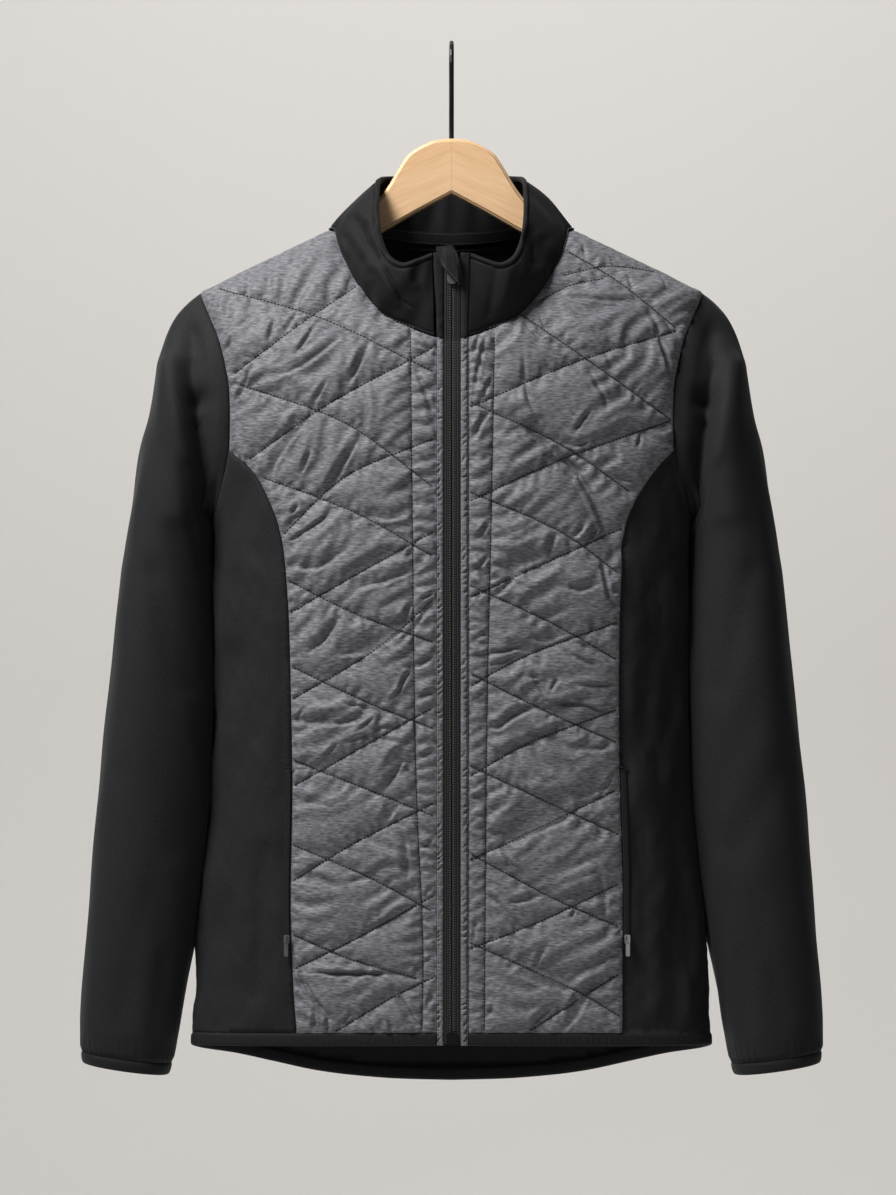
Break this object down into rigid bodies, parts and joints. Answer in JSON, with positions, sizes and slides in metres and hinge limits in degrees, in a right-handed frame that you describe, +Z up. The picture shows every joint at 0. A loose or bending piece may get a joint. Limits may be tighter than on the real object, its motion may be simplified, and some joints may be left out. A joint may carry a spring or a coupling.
{
  "type": "quilted jacket on a hanger",
  "caption": "Zipped jacket with quilted fronts, jersey sleeves, sides and back and a stand collar, hanging closed on a flat wooden hanger.",
  "frame": {"origin": "top of the inside of the hanger's hook, where it sits on a rod", "axes": "+Z up, -Y the way the jacket faces, +X towards the wearer's left"},
  "size_m": [0.6058, 0.1408, 0.8506],
  "materials": {
    "quilted_shell": "dark grey heathered shell cloth with a slight sheen, quilted over thin padding",
    "jersey": "matt charcoal-black stretch jersey",
    "binding": "black elastic binding",
    "zip_tape": "black ribbed zip tape over a reversed coil",
    "black_metal": "black enamelled metal",
    "steel": "dull plated zinc",
    "wood": "clear satin lacquer on pale wood"
  },
  "bodies": {
    "jacket": {"back_panel": "jersey", "collar": "jersey", "collar_facing_left": "jersey", "collar_facing_right": "jersey", "cuff_binding_left": "binding", "cuff_binding_right": "binding", "front_quilted_left": "quilted_shell", "front_quilted_right": "quilted_shell", "front_strip_left": "quilted_shell", "front_strip_right": "quilted_shell", "hanger": "wood", "hanger_hook": "black_metal", "hem_binding": "binding", "neck_tape": "jersey", "pocket_slider_left": "steel", "pocket_slider_right": "steel", "pocket_zip_left": "zip_tape", "pocket_zip_right": "zip_tape", "side_panel_left": "jersey", "side_panel_right": "jersey", "sleeve_left": "jersey", "sleeve_right": "jersey", "zip_bottom_box": "black_metal", "zip_garage": "jersey", "zip_slider": "black_metal", "zip_tape_left": "zip_tape", "zip_tape_right": "zip_tape"},
    "pull_right": {"pocket_pull_right": "steel"},
    "pull_left": {"pocket_pull_left": "steel"}
  },
  "joints": [
    {"name": "pull_right_swing", "type": "hinge", "parent": "jacket", "child": "pull_right", "pos_m": [-0.13255, -0.0533, -0.72376], "axis": [-0.9836, 0.1806, 0], "range_deg": [0, 120]},
    {"name": "pull_left_swing", "type": "hinge", "parent": "jacket", "child": "pull_left", "pos_m": [0.14134, -0.05196, -0.72377], "axis": [-0.9779, -0.2092, 0], "range_deg": [0, 120]}
  ]
}
